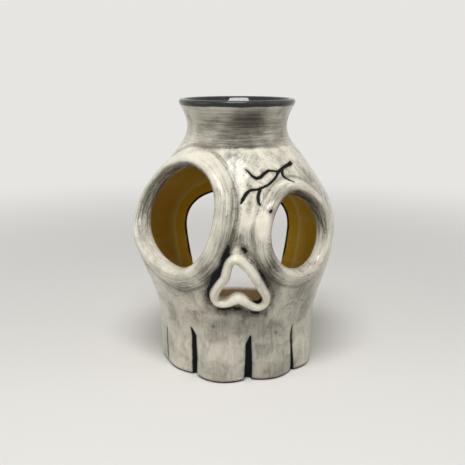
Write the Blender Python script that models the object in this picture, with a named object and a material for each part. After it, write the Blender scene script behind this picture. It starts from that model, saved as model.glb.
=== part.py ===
"""Skull lantern: one hollow pot thrown on a wheel, with a flared neck, two eye sockets, a nose opening,
teeth scored into the jaw, cracks carved in the brow and an arched door at the back for the candle.

The whole pot is one clay wall. Its outer and inner faces are two sheets of triangles laid over azimuth
and height, with the openings left out of both. Round each opening a strip rolls from the outer sheet over
the lip to the inner one, and two more strips close the pot at its rim and under its foot.

Lengths are millimetres until the mesh is written in metres. An azimuth is in degrees: 0 is the middle of
the face, towards -Y, and +90 is towards +X. Z is up and the pot stands on z = 0.
"""

import bpy
import numpy as np
from mathutils.geometry import delaunay_2d_cdt

MM = 0.001

# Thrown body: radius of the outer face at each height
HEIGHT = 155.0
FOOT_RADIUS = 45.9
JAW_RADIUS = 46.8
JAW_Z = 14.5
JAW_TOP = 28.5
CHEEK_RADIUS = 50.0
CHEEK_Z = 43.0
CHEEKBONE_RADIUS = 55.2
CHEEKBONE_Z = 60.5
BODY_RADIUS = 57.4
BODY_Z = 79.5
TEMPLE_RADIUS = 53.6
TEMPLE_Z = 98.0
BROW_RADIUS = 45.7
BROW_Z = 111.5
SHOULDER_RADIUS = 37.4
SHOULDER_Z = 123.5
NECK_BASE_RADIUS = 30.6
NECK_BASE_BELOW_RIM = 22.0
NECK_RADIUS = 29.1
NECK_BELOW_RIM = 15.0
RIM_RADIUS = 35.0

# Swellings of the thrown form: the left cheekbone and the right temple
SWELLS = [
    dict(az=-80.0, half_az=30.0, z=72.5, half_z=19.0, height=3.0),
    dict(az=80.0, half_az=28.0, z=92.0, half_z=26.0, height=1.0),
]

# Clay
WALL = 4.8
RIM_WALL = 3.4
RIM_ROUNDING = 1.9
FLOOR_THICKNESS = 6.5
FLOOR_ROUNDING = 8.0
FOOT_ROUNDING = 2.4

# Gaps scored between the teeth: points (azimuth, z), half width at each point, depth
GAPS = [
    ([(-63.0, 22.5), (-61.5, 11.5), (-63.0, 0.0)], [0.4, 0.8, 0.8], 0.7),
    ([(-33.7, 29.0), (-31.5, 24.5), (-30.5, 11.5), (-31.6, 0.0)], [0.5, 1.6, 2.1, 1.9], 2.6),
    ([(9.0, 26.4), (7.7, 21.5), (7.8, 11.5), (7.4, 0.0)], [0.6, 1.7, 2.0, 2.3], 2.8),
    ([(42.4, 28.4), (41.4, 22.5), (42.0, 12.5), (44.1, 0.0)], [0.4, 0.9, 1.0, 1.0], 1.9),
]
# How far each tooth swells at the foot, between one gap and the next. The last tooth ends at no gap.
TOOTH_SWELL = [1.2, 5.6, 3.7, 2.4]
LAST_TOOTH_WIDTH_AZ = 30.0
TOOTH_TOP = 39.5

# Cracks carved in the brow, in the same terms as the gaps but with each height counted from BROW_Z
CRACKS = [
    ([(51.5, 9.9), (41.3, 8.3), (31.9, 5.8), (24.5, 1.5), (16.2, -1.3)], [1.2, 1.0, 0.8, 0.6, 0.7], 1.2),
    ([(14.6, -1.6), (9.0, -2.3), (5.3, -4.0), (3.0, -6.8), (2.0, -8.7)], [0.7, 0.8, 1.0, 1.2, 0.6], 1.2),
    ([(30.0, 6.7), (24.0, 7.0), (17.0, 3.7), (12.0, 3.7), (5.6, 7.8)], [0.5, 0.6, 0.6, 0.6, 0.4], 0.9),
    ([(14.0, -3.7), (12.6, -6.0), (13.2, -9.7)], [0.5, 0.6, 0.4], 0.8),
    ([(35.0, 4.9), (35.2, 2.6), (36.9, 0.8), (38.8, -0.7)], [0.5, 0.6, 0.6, 0.4], 0.8),
]

# Eye sockets. az, half_az in degrees; z, up, down in mm. The edge bows to one side by bow degrees at the
# end of its lower half, and taper narrows that half.
LEFT_EYE = dict(az=-45.7, half_az=32.3, z=99.8, up=20.4, down=34.4, bow=9.3, taper=1.25)
RIGHT_EYE = dict(az=37.7, half_az=19.7, z=85.5, up=20.7, down=21.0, bow=1.0, taper=1.0)

# Sections of the lips: height of the roll, its crest's and outer side's distances from the edge, and how
# far from the edge the inside of the wall is reached
LEFT_LIP = dict(height=3.2, crest=3.2, width=13.0, inside=1.6, squareness=2.2)
RIGHT_LIP = dict(height=3.4, crest=3.2, width=11.5, inside=1.6, squareness=2.2)
NOSE_LIP = dict(height=2.5, crest=2.7, width=6.0, inside=1.8, squareness=2.2)
DOOR_LIP = dict(height=0.0, crest=1.3, width=1.4, inside=1.3, squareness=3.0)

# Nose opening: corners (azimuth, height above NOSE_Z) of its edge, clockwise from the top
NOSE_Z = 58.5
NOSE_CORNERS = [
    (-1.4, 13.0),
    (2.6, 10.0),
    (6.6, 5.0),
    (10.8, -1.8),
    (15.0, -8.6),
    (13.2, -11.4),
    (9.0, -10.0),
    (4.6, -6.6),
    (0.3, -5.3),
    (-3.7, -6.6),
    (-7.2, -8.7),
    (-11.2, -8.1),
    (-9.0, -2.6),
    (-4.6, 3.4),
    (-3.2, 8.6),
]
# Hollow pressed round the outside of the nose's lip
HOLLOW_DEPTH = 1.2
HOLLOW_REACH = 5.0

# Door at the back: an arch with squarer corners at its sill
DOOR = dict(az=-180.5, half_az=39.2, z=66.5, up=27.0, down=41.0, top_fullness=2.5, sill_fullness=6.0)

# Mesh: points per smooth curve, and the spacing of the sheets' rows and of the points along the grooves
CURVE_POINTS = 400
OUTER_STEP = 4.3
INNER_STEP = 8.0
GROOVE_STEP = 3.2
# Share of its own spacing that a row or ring keeps clear of the points laid before it
CLOSEST = 0.62
LEFT_POINTS = 60
RIGHT_POINTS = 44
NOSE_POINTS = 50
DOOR_POINTS = 60
RIM_POINTS = 60
LIP_STEPS = 6
ROUNDING_STEPS = 3
SEAM_AZ = 110.0
TURN = 360.0

GLAZE = (0.80, 0.77, 0.70, 1.0)
GLAZE_ROUGHNESS = 0.35


def natural_spline(points):
    """A function of x: the natural cubic spline through the (x, y) points."""
    xs, ys = np.array(sorted(points), float).T
    h = np.diff(xs)
    system = np.eye(len(xs))
    bends = np.zeros(len(xs))
    for i in range(1, len(xs) - 1):
        system[i, i - 1 : i + 2] = h[i - 1], 2 * (h[i - 1] + h[i]), h[i]
        bends[i] = 6 * ((ys[i + 1] - ys[i]) / h[i] - (ys[i] - ys[i - 1]) / h[i - 1])
    m = np.linalg.solve(system, bends)

    def at(x):
        i = np.clip(np.searchsorted(xs, x) - 1, 0, len(xs) - 2)
        t = x - xs[i]
        slope = (ys[i + 1] - ys[i]) / h[i] - h[i] * (2 * m[i] + m[i + 1]) / 6
        return ys[i] + t * slope + t**2 * m[i] / 2 + t**3 * (m[i + 1] - m[i]) / (6 * h[i])

    return at


PROFILE = natural_spline(
    [
        (0.0, FOOT_RADIUS),
        (JAW_Z, JAW_RADIUS),
        (JAW_TOP, JAW_RADIUS),
        (CHEEK_Z, CHEEK_RADIUS),
        (CHEEKBONE_Z, CHEEKBONE_RADIUS),
        (BODY_Z, BODY_RADIUS),
        (TEMPLE_Z, TEMPLE_RADIUS),
        (BROW_Z, BROW_RADIUS),
        (SHOULDER_Z, SHOULDER_RADIUS),
        (HEIGHT - NECK_BASE_BELOW_RIM, NECK_BASE_RADIUS),
        (HEIGHT - NECK_BELOW_RIM, NECK_RADIUS),
        (HEIGHT, RIM_RADIUS),
    ]
)


def smooth(low, high, x):
    """0 below low, 1 above high, with a soft rise between them."""
    t = np.clip((x - low) / (high - low), 0, 1)
    return t * t * (3 - 2 * t)


def turned(az):
    """The azimuth brought between -180 and 180."""
    return (az + TURN / 2) % TURN - TURN / 2


def scale(z):
    """Millimetres along the wall for one degree of azimuth and for one millimetre of height."""
    slope = PROFILE(z + 0.5) - PROFILE(z - 0.5)
    return np.stack([np.radians(PROFILE(z)), np.sqrt(1 + slope**2)], -1)


def swell(az, z):
    """How far the pot swells out of its thrown profile: the teeth between their gaps, most at the foot
    and nothing above the jaw, and the swellings."""
    gaps = [np.mean([p[0] for p in line]) for line, widths, depth in GAPS]
    gaps.append(gaps[-1] + LAST_TOOTH_WIDTH_AZ)
    teeth = 0.0
    for left, right, size in zip(gaps[:-1], gaps[1:], TOOTH_SWELL):
        across = np.clip((turned(az) - left) / (right - left), 0, 1)
        teeth = teeth + size * np.sin(np.pi * across)
    total = teeth * (1 - smooth(0, TOOTH_TOP, z))
    for each in SWELLS:
        across = turned(az - each["az"]) / each["half_az"]
        up = (z - each["z"]) / each["half_z"]
        total = total + each["height"] * np.exp(-(across**2) - up**2)
    return total


def place(az, radius, z):
    """The point at this azimuth, radius and height."""
    a = np.radians(az)
    return np.stack([radius * np.sin(a), -radius * np.cos(a), z + 0 * radius], -1)


def normal(az, z, radius):
    """The direction square to the face whose radius is this function of azimuth and height."""
    step = 0.2
    across = place(az + step, radius(az + step, z), z) - place(az - step, radius(az - step, z), z)
    up = place(az, radius(az, z + step), z + step) - place(az, radius(az, z - step), z - step)
    n = np.cross(across, up)
    return n / np.sqrt((n * n).sum(-1))[..., None]


def outer_radius(az, z):
    return PROFILE(z) + swell(az, z)


def inner_radius(az, z):
    return PROFILE(z) + 0 * az


def to_line(az, z, line, closed):
    """Millimetres along the wall from each place to the nearest point of a line of (azimuth, z) points,
    and how far along the line that nearest point is, counted in points."""
    line = np.array(line, float)
    best = np.full(np.shape(az), np.inf)
    along = np.zeros(np.shape(az))
    for i in range(len(line) if closed else len(line) - 1):
        here, there = line[i], line[(i + 1) % len(line)]
        mm = scale((here[1] + there[1]) / 2)
        run = (there - here) * mm
        x = turned(az - here[0]) * mm[0]
        y = (z - here[1]) * mm[1]
        t = np.clip((x * run[0] + y * run[1]) / (run @ run), 0, 1)
        far = np.hypot(x - t * run[0], y - t * run[1])
        along = np.where(far < best, i + t, along)
        best = np.minimum(best, far)
    return best, along


def raised(points, z):
    """The points (azimuth, height) with z added to each height."""
    return [(az, height + z) for az, height in points]


def smooth_loop(corners):
    """A closed Catmull-Rom curve through the corners."""
    c = np.array(corners, float)
    t = np.linspace(0, len(c), CURVE_POINTS, endpoint=False)
    i = t.astype(int)
    u = (t - i)[:, None]
    a, b, d, e = (c[(i + k) % len(c)] for k in (-1, 0, 1, 2))
    return b + 0.5 * u * (d - a + u * (2 * a - 5 * b + 4 * d - e + u * (3 * (b - d) + e - a)))


def socket_edge(eye):
    """An egg: an ellipse with one half height above its middle and another below. Its lower half is
    narrowed by the taper, and both ends bow to the side with the square of the height."""
    t = np.linspace(0, 2 * np.pi, CURVE_POINTS, endpoint=False) - np.pi / 2
    c, s = np.cos(t), np.sin(t)
    rise = s * np.where(s > 0, eye["up"], eye["down"])
    half = eye["half_az"] * np.sign(c) * np.where(s > 0, np.abs(c), np.abs(c) ** eye["taper"])
    bow = eye["bow"] * (rise / eye["down"]) ** 2
    return np.stack([eye["az"] + half + bow, eye["z"] + rise], -1)


def door_edge():
    """Two superellipse halves that meet at the arch's widest height."""
    t = np.linspace(0, 2 * np.pi, CURVE_POINTS, endpoint=False) - np.pi / 2
    c, s = np.cos(t), np.sin(t)
    power = np.where(s > 0, 2 / DOOR["top_fullness"], 2 / DOOR["sill_fullness"])
    rise = np.sign(s) * np.abs(s) ** power * np.where(s > 0, DOOR["up"], DOOR["down"])
    across = DOOR["half_az"] * np.sign(c) * np.abs(c) ** power
    return np.stack([DOOR["az"] + across, DOOR["z"] + rise], -1)


def lengths(loop):
    """Millimetres along the wall from the closed line's first point to each point, and right round."""
    steps = (np.roll(loop, -1, 0) - loop) * scale(loop[:, 1])
    return np.concatenate([[0], np.cumsum(np.hypot(*steps.T))])


class Opening:
    """One opening: its edge, anticlockwise as seen from outside, and the section of the lip round it. The
    edge's points are spaced evenly by the mean of the lengths along the edge and along the lip's crest."""

    def __init__(self, curve, count, lip):
        self.lip = lip
        run = (np.roll(curve, -1, 0) - np.roll(curve, 1, 0)) * scale(curve[:, 1])
        away = np.stack([run[:, 1], -run[:, 0]], -1) / np.hypot(*run.T)[:, None]
        along = lengths(curve) + lengths(curve + away * lip["crest"] / scale(curve[:, 1]))
        at = np.arange(count) * along[-1] / count
        self.edge = self.sample(curve, along, at)
        away = self.sample(away, along, at)
        self.away = away / np.hypot(*away.T)[:, None]

    def sample(self, loop, along, at):
        return np.stack([np.interp(at, along, np.append(loop[:, k], loop[0, k])) for k in (0, 1)], -1)

    def ring(self, far):
        """The edge moved this many millimetres away from the opening, along the wall."""
        return self.edge + self.away * far / scale(self.edge[:, 1])

    def distance(self, az, z):
        return to_line(az, z, self.edge, True)[0]

    def roll(self, az, z, hollow=0.0):
        """Height of the rolled lip: full as far as its crest, then a soft fall to the hollow's depth,
        which rises to nothing beyond it."""
        lip = self.lip
        far = self.distance(az, z)
        down = smooth(lip["crest"], lip["width"], far)
        return lip["height"] * (1 - down) - hollow * down * (1 - smooth(0, HOLLOW_REACH, far - lip["width"]))


LEFT = Opening(socket_edge(LEFT_EYE), LEFT_POINTS, LEFT_LIP)
RIGHT = Opening(socket_edge(RIGHT_EYE), RIGHT_POINTS, RIGHT_LIP)
NOSE = Opening(smooth_loop(raised(NOSE_CORNERS[::-1], NOSE_Z)), NOSE_POINTS, NOSE_LIP)
BACK_DOOR = Opening(door_edge(), DOOR_POINTS, DOOR_LIP)
OPENINGS = [LEFT, RIGHT, NOSE, BACK_DOOR]
CARVED = GAPS + [(raised(line, BROW_Z), widths, depth) for line, widths, depth in CRACKS]


def relief(az, z):
    """How far the outer face stands out from outer_radius(): the rolled lips, the hollow round the nose's
    lip, and the gaps and cracks, each cut to a V."""
    total = sum(opening.roll(az, z, HOLLOW_DEPTH if opening is NOSE else 0.0) for opening in OPENINGS)
    cut = 0.0
    for line, widths, depth in CARVED:
        far, along = to_line(az, z, line, False)
        half_width = np.interp(along, np.arange(len(widths)), widths)
        narrowed = np.minimum(1, half_width / max(widths))
        cut = np.maximum(cut, depth * narrowed * np.clip(1 - far / half_width, 0, 1))
    return total - cut


def wall(z):
    """Wall thickness: even in the body, thinner up the neck to the rim."""
    return WALL + (RIM_WALL - WALL) * smooth(SHOULDER_Z, RIM_Z, z)


def outer(az, z):
    return place(az, outer_radius(az, z), z) + normal(az, z, outer_radius) * relief(az, z)[..., None]


def inner(az, z):
    return place(az, inner_radius(az, z), z) - normal(az, z, inner_radius) * wall(z)[..., None]


def rim_height():
    """Height of the outer face's top, so that the rounded rim above it just reaches HEIGHT."""
    n = normal(0.0, HEIGHT - RIM_WALL, inner_radius)
    lean = abs(n[2])
    return HEIGHT - lean * RIM_WALL / 2 - np.hypot(lean * RIM_WALL / 2, np.sqrt(1 - lean**2) * RIM_ROUNDING)


RIM_Z = rim_height()


class Sheet:
    """Points over azimuth and height that keep clear of each other, and the triangles between them."""

    def __init__(self):
        self.points = np.zeros((0, 2))
        self.edges = []

    def add(self, points, gap):
        """Keep the points that lie at least this many millimetres from those kept before."""
        points = np.array(points, float)
        if gap and len(self.points):
            apart = points[:, None, :] - self.points[None]
            apart[..., 0] = turned(apart[..., 0])
            apart = apart * scale(points[:, 1])[:, None, :]
            points = points[np.hypot(apart[..., 0], apart[..., 1]).min(1) > gap]
        first = len(self.points)
        self.points = np.vstack([self.points, points])
        return list(range(first, first + len(points)))

    def add_line(self, points, gap=0):
        """Keep the points and the edges from each one to the next."""
        kept = self.add(points, gap)
        self.edges += list(zip(kept[:-1], kept[1:]))
        return kept

    def triangles(self, loops):
        """Triangles over the whole sheet but for the inside of the loops, sewn together at the seam. A
        place where two lines cross becomes a point of the sheet."""
        across = np.radians(BODY_RADIUS)
        flat = [(az * across, z) for az, z in self.points]
        found = delaunay_2d_cdt(flat, self.edges, loops, 0, 1e-6)
        verts, edges, faces, came_from, old_edges, in_loops = found
        source = []
        for place, old in zip(verts, came_from):
            source.append(old[0] if old else self.add([(place[0] / across, place[1])], 0)[0])
        left = np.isclose(self.points[:, 0], SEAM_AZ - TURN)
        right = np.isclose(self.points[:, 0], SEAM_AZ)
        name = np.arange(len(self.points))
        for i in np.flatnonzero(right):
            level = np.isclose(self.points[:, 1], self.points[i, 1])
            name[i] = np.flatnonzero(left & level)[0]
        kept = [face for face, loop in zip(faces, in_loops) if not loop]
        return [[int(name[source[v]]) for v in face] for face in kept]


def fill(sheet, low, high, step):
    """Rows of points across the sheet, spaced by the step, with each row's two ends on the seam."""
    count = int(round((high - low) / step))
    for row, z in enumerate(np.linspace(low, high, count + 1)):
        around = int(round(2 * np.pi * PROFILE(z) / step))
        start = 0.5 if row % 2 else 1.0
        sheet.add([(SEAM_AZ - TURN, z), (SEAM_AZ, z)], 0 if 0 < row < count else 0.1)
        sheet.add([(SEAM_AZ - TURN + TURN * i / around, z) for i in np.arange(start, around)], CLOSEST * step)


def border(low, high, low_az):
    """A sheet whose lower side has points at these azimuths and whose upper side has the rim's."""
    sheet = Sheet()
    bottom = sheet.add_line([(az, low) for az in low_az])
    top = sheet.add_line([(az, high) for az in np.linspace(SEAM_AZ - TURN, SEAM_AZ, RIM_POINTS + 1)])
    return sheet, bottom[:-1], top[:-1]


def groove_lines(line, widths):
    """The middle and both sides of a groove as lines of points, a step apart."""
    line = np.array(line, float)
    mm = scale(line[:, 1])
    along = np.concatenate([[0], np.cumsum(np.hypot(*(np.diff(line, axis=0) * mm[1:]).T))])
    at = np.linspace(0, along[-1], int(round(along[-1] / GROOVE_STEP)) + 1)
    middle = np.stack([np.interp(at, along, line[:, k]) for k in (0, 1)], -1)
    run = np.gradient(middle, axis=0) * scale(middle[:, 1])
    side = np.stack([-run[:, 1], run[:, 0]], -1) / np.hypot(*run.T)[:, None]
    half = np.interp(at, along, widths)[:, None]
    return [middle, *(middle + sign * half * side / scale(middle[:, 1]) for sign in (1, -1))]


def outer_sheet():
    """The outer face: loops round the openings, lines along the grooves, rings and rows between."""
    crossings = [
        line[-1][0] + side * np.degrees(widths[-1] / FOOT_RADIUS)
        for line, widths, depth in GAPS
        for side in (-1, 0, 1)
    ]
    around = np.linspace(SEAM_AZ - TURN, SEAM_AZ, int(2 * np.pi * FOOT_RADIUS / OUTER_STEP) + 1)
    away = np.array([min(abs(az - c) for c in crossings) for az in around])
    low_az = sorted([*around[away > 1.6], *crossings])
    sheet, bottom, top = border(FOOT_ROUNDING, RIM_Z, low_az)
    loops = [sheet.add(opening.ring(opening.lip["crest"]), 0) for opening in OPENINGS]
    for line, widths, depth in CARVED:
        middle, *sides = groove_lines(line, widths)
        clear = middle[:, 1] > FOOT_ROUNDING + 1
        for points in (middle, *sides):
            sheet.add_line(points[clear], 0)
    for opening in OPENINGS:
        width, crest = opening.lip["width"], opening.lip["crest"]
        for part in (0.33, 0.66, 1.0):
            if width - crest > 1:
                sheet.add(opening.ring(crest + part * (width - crest)), CLOSEST * (width - crest) / 3)
    fill(sheet, FOOT_ROUNDING, RIM_Z, OUTER_STEP)
    return sheet, bottom, top, loops


def inner_sheet():
    """The inner face: loops round the openings and rows between."""
    low = FLOOR_THICKNESS + FLOOR_ROUNDING
    around = int(2 * np.pi * FOOT_RADIUS / INNER_STEP)
    sheet, bottom, top = border(low, RIM_Z, np.linspace(SEAM_AZ - TURN, SEAM_AZ, around + 1))
    loops = [sheet.add(opening.ring(opening.lip["inside"]), 0) for opening in OPENINGS]
    fill(sheet, low, RIM_Z, INNER_STEP)
    return sheet, bottom, top, loops


def band(one, other):
    """Four-sided faces between two closed rings of vertex numbers that run the same way."""
    count = len(one)
    return [(one[i], one[(i + 1) % count], other[(i + 1) % count], other[i]) for i in range(count)]


class Wall:
    """The vertices and faces of the pot, added piece by piece."""

    def __init__(self):
        self.verts = []
        self.faces = []

    def add(self, points):
        first = len(self.verts)
        self.verts += [tuple(p) for p in points]
        return list(range(first, len(self.verts)))

    def add_sheet(self, sheet, loops, at, outward):
        triangles = sheet.triangles(loops)
        numbers = np.array(self.add(at(sheet.points[:, 0], sheet.points[:, 1])))
        for triangle in triangles:
            ring = numbers[triangle]
            self.faces.append(tuple(int(v) for v in (ring if outward else ring[::-1])))
        return numbers

    def add_bands(self, rings):
        for one, other in zip(rings[:-1], rings[1:]):
            self.faces += band(one, other)

    def close(self, ring, centre):
        middle = self.add([centre])[0]
        self.faces += [(a, b, middle) for a, b in zip(ring, ring[1:] + ring[:1])]

    def lip(self, start, end, section):
        """Bands over a lip, from the outer sheet's ring to the inner one's, along half a turn of angle."""
        angles = np.linspace(0, np.pi, LIP_STEPS + 1)[1:-1]
        self.add_bands([start, *(self.add(section(angle)) for angle in angles), end])


def opening_section(opening):
    """The lip of an opening at an angle: a superellipse from the crest, over the edge, to the inside."""
    lip = opening.lip

    def section(angle):
        power = 2 / lip["squareness"]
        reach = lip["crest"] if angle < np.pi / 2 else lip["inside"]
        az, z = opening.ring(reach * (1 - np.sin(angle) ** power)).T
        face, back = outer(az, z), inner(az, z)
        return (face + back + (face - back) * np.sign(np.cos(angle)) * np.abs(np.cos(angle)) ** power) / 2

    return section


def rim_section(az):
    """The rim at an angle: half an ellipse as thick as the wall there, standing on the wall's top."""

    def section(angle):
        z = np.full(len(az), RIM_Z)
        n = normal(az, z, inner_radius)
        up = np.stack([np.zeros(len(az)), np.zeros(len(az)), np.ones(len(az))], -1)
        up = up - n * (up * n).sum(-1)[:, None]
        up = up / np.sqrt((up * up).sum(-1))[:, None]
        middle = place(az, inner_radius(az, z), z) - n * RIM_WALL / 2
        return middle + n * RIM_WALL / 2 * np.cos(angle) + up * RIM_ROUNDING * np.sin(angle)

    return section


def rounded_rings(pot, ring, size, down):
    """Rings that round a quarter turn from a ring of the wall in to a level face lower down."""
    start = np.array([pot.verts[i] for i in ring])
    radius = np.hypot(start[:, 0], start[:, 1])[:, None]
    rings = [ring]
    for angle in np.linspace(0, np.pi / 2, ROUNDING_STEPS + 1)[1:]:
        points = start * (1 - size * (1 - np.cos(angle)) / radius)
        points[:, 2] = start[:, 2].mean() - down * np.sin(angle)
        rings.append(pot.add(points))
    return rings


def shrunk(pot, ring, part):
    """The ring of a level face again, closer to the axis."""
    points = np.array([pot.verts[i] for i in ring])
    points[:, :2] *= part
    return pot.add(points)


def build_pot():
    pot = Wall()
    out, out_bottom, out_top, out_loops = outer_sheet()
    ins, in_bottom, in_top, in_loops = inner_sheet()
    outside = pot.add_sheet(out, out_loops, outer, True)
    inside = pot.add_sheet(ins, in_loops, inner, False)
    for opening, start, end in zip(OPENINGS, out_loops, in_loops):
        pot.lip([int(v) for v in outside[start]], [int(v) for v in inside[end]], opening_section(opening))
    start, end = ([int(v) for v in numbers] for numbers in (outside[out_top], inside[in_top]))
    pot.lip(start, end, rim_section(out.points[out_top, 0]))
    foot = rounded_rings(pot, [int(v) for v in outside[out_bottom]][::-1], FOOT_ROUNDING, FOOT_ROUNDING)
    foot.append(shrunk(pot, foot[-1], 0.6))
    pot.add_bands(foot)
    pot.close(foot[-1], (0.0, 0.0, 0.0))
    floor = rounded_rings(pot, [int(v) for v in inside[in_bottom]], FLOOR_ROUNDING, FLOOR_ROUNDING)
    floor.append(shrunk(pot, floor[-1], 0.5))
    pot.add_bands(floor)
    pot.close(floor[-1], (0.0, 0.0, FLOOR_THICKNESS))
    return pot


def used_only(verts, faces):
    """The mesh without the vertices that no face uses, such as the seam's second copy."""
    used = sorted({v for face in faces for v in face})
    number = {v: i for i, v in enumerate(used)}
    return [verts[v] for v in used], [tuple(number[v] for v in face) for face in faces]


def glaze():
    material = bpy.data.materials.new("cream_glaze")
    material.use_nodes = True
    shader = material.node_tree.nodes["Principled BSDF"]
    shader.inputs["Base Color"].default_value = GLAZE
    shader.inputs["Roughness"].default_value = GLAZE_ROUGHNESS
    return material


for old in list(bpy.data.objects):
    bpy.data.objects.remove(old, do_unlink=True)

pot = build_pot()
verts, faces = used_only(pot.verts, pot.faces)
mesh = bpy.data.meshes.new("pot")
mesh.from_pydata([(x * MM, y * MM, z * MM) for x, y, z in verts], [], faces)
mesh.validate()
mesh.materials.append(glaze())
mesh.polygons.foreach_set("use_smooth", [True] * len(mesh.polygons))
mesh.set_sharp_from_angle(angle=np.radians(50.0))
bpy.context.scene.collection.objects.link(bpy.data.objects.new("pot", mesh))
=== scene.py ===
"""Looks of the skull lantern: the glazed pot in fine detail, its finishes, the table, the light and the
camera. Lengths are in millimetres until a mesh is written, azimuths are in degrees, and azimuth 0 is the
middle of the face, towards -Y."""

import sys

import bpy
import numpy as np
from mathutils.geometry import delaunay_2d_cdt
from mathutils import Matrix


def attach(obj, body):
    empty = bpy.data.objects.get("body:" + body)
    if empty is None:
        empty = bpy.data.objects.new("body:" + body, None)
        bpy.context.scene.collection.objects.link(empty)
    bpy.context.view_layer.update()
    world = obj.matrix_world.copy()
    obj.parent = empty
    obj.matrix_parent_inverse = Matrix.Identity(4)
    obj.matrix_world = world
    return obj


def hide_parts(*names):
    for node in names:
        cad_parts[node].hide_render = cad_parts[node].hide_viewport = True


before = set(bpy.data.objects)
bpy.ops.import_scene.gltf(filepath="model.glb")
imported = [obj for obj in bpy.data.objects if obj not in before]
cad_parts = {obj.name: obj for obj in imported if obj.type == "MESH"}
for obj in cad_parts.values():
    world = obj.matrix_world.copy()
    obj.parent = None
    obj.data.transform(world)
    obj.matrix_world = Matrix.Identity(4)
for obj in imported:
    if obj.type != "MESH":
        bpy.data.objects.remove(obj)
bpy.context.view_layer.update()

# The clay wall. The pot was thrown on a wheel as one hollow form with a flared neck, and while it was soft
# the sockets, the nose and the back door were cut out, their edges rolled over with a wet finger, and the
# tooth gaps and the cracks carved with a loop tool. It is one piece, about 5 mm thick.
HEIGHT = 155.0
WALL, RIM_WALL, RIM_ROUNDING = 4.8, 3.4, 1.9
FLOOR_THICKNESS, FLOOR_ROUNDING, FOOT_ROUNDING = 6.5, 8.0, 2.4
# How far each tooth swells at the foot, between one gap and the next, and the height it fades out at. The
# last tooth ends at no gap, so it has a width of its own.
TOOTH_SWELL = [1.2, 5.6, 3.7, 2.4]
TOOTH_TOP, LAST_TOOTH_WIDTH_AZ = 39.5, 30.0
# Swellings of the left cheekbone and the right temple
SWELLS = [
    dict(az=-80.0, half_az=30.0, z=72.5, half_z=19.0, height=3.0),
    dict(az=80.0, half_az=28.0, z=92.0, half_z=26.0, height=1.0),
]
# The thrown form, as z and radius
SHOULDER_Z = 123.5
THROWN = [
    (0.0, 45.9), (14.5, 46.8), (28.5, 46.8), (43.0, 50.0), (60.5, 55.2), (79.5, 57.4), (98.0, 53.6),
    (111.5, 45.7), (SHOULDER_Z, 37.4), (133.0, 30.6), (140.0, 29.1), (HEIGHT, 35.0),
]

# Carved lines: points (azimuth, z), half width at each point, depth
GAPS = [
    ([(-63.0, 22.5), (-61.5, 11.5), (-63.0, 0.0)], [0.3, 0.6, 0.5], 0.6),
    ([(-33.7, 29.0), (-31.5, 24.5), (-30.5, 11.5), (-31.6, 0.0)], [0.5, 1.6, 2.1, 1.9], 2.6),
    ([(9.0, 26.4), (7.7, 21.5), (7.8, 11.5), (7.4, 0.0)], [0.6, 1.7, 2.0, 2.3], 2.8),
    ([(42.4, 28.4), (41.4, 22.5), (42.0, 12.5), (44.1, 0.0)], [0.4, 0.9, 1.0, 1.0], 1.9),
]
CRACKS = [
    ([(50.2, 121.3), (46.3, 120.4), (41.3, 119.8), (35.8, 118.6), (31.9, 117.3), (28.7, 115.0), (24.5, 113.0),
      (20.8, 111.4), (16.2, 110.2), (12.7, 109.5), (8.0, 109.2), (5.3, 107.5), (3.0, 104.7), (2.0, 103.0)],
     [1.2, 1.2, 1.0, 0.9, 0.9, 0.7, 0.7, 0.6, 0.7, 0.7, 0.8, 1.0, 1.0, 0.5], 1.1),
    ([(32.0, 117.6), (28.0, 118.0), (23.8, 118.4), (19.8, 117.0), (16.2, 115.2), (13.2, 114.8), (10.6, 116.1),
      (8.6, 117.8), (6.0, 119.5)],
     [0.6, 0.6, 0.8, 0.95, 1.0, 0.9, 0.8, 0.6, 0.3], 0.9),
    ([(36.8, 118.5), (34.8, 116.1), (35.4, 113.9), (37.0, 112.2), (39.0, 110.7)],
     [0.9, 0.9, 0.85, 0.7, 0.4], 0.8),
    ([(15.5, 109.9), (13.6, 107.8), (12.6, 105.5), (12.5, 103.5), (13.2, 101.8)],
     [0.7, 0.9, 0.9, 0.8, 0.5], 0.8),
]
GAPS_AND_CRACKS = GAPS + CRACKS
# Counted as this many millimetres from a line's side wherever no line is near
NO_INK = -9.0

# The openings. az and half_az are in degrees, z, up and down in millimetres. A socket's edge bows to one
# side by bow degrees at the end of its lower half, and taper narrows that half. The nose's corners are
# azimuth and z, clockwise from the top.
LEFT_EYE = dict(az=-45.7, half_az=32.3, z=99.8, up=20.4, down=34.4, bow=9.3, taper=1.25)
RIGHT_EYE = dict(az=37.7, half_az=19.7, z=85.5, up=20.7, down=21.0, bow=1.0, taper=1.0)
DOOR = dict(az=-180.5, half_az=39.2, z=66.5, up=27.0, down=41.0, top_fullness=2.5, sill_fullness=6.0)
NOSE_CORNERS = [
    (-1.4, 71.5), (2.6, 68.5), (6.6, 63.5), (10.8, 56.7), (15.0, 49.9), (13.2, 47.1), (9.0, 48.5),
    (4.6, 51.9), (0.3, 53.2), (-3.7, 51.9), (-7.2, 49.8), (-11.2, 50.4), (-9.0, 55.9), (-4.6, 61.9),
    (-3.2, 67.1),
]
# Sections of their lips: height of the roll, its crest's and outer side's distances from the edge, and how
# far from the edge the inside of the wall is reached
LEFT_LIP = dict(height=3.2, crest=3.2, width=13.0, inside=1.6, squareness=2.2)
RIGHT_LIP = dict(height=3.4, crest=3.2, width=11.5, inside=1.6, squareness=2.2)
NOSE_LIP = dict(height=2.5, crest=2.7, width=6.0, inside=1.8, squareness=2.2)
DOOR_LIP = dict(height=0.0, crest=1.3, width=1.4, inside=1.3, squareness=3.0)
HOLLOW_DEPTH, HOLLOW_REACH = 1.2, 5.0

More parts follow.
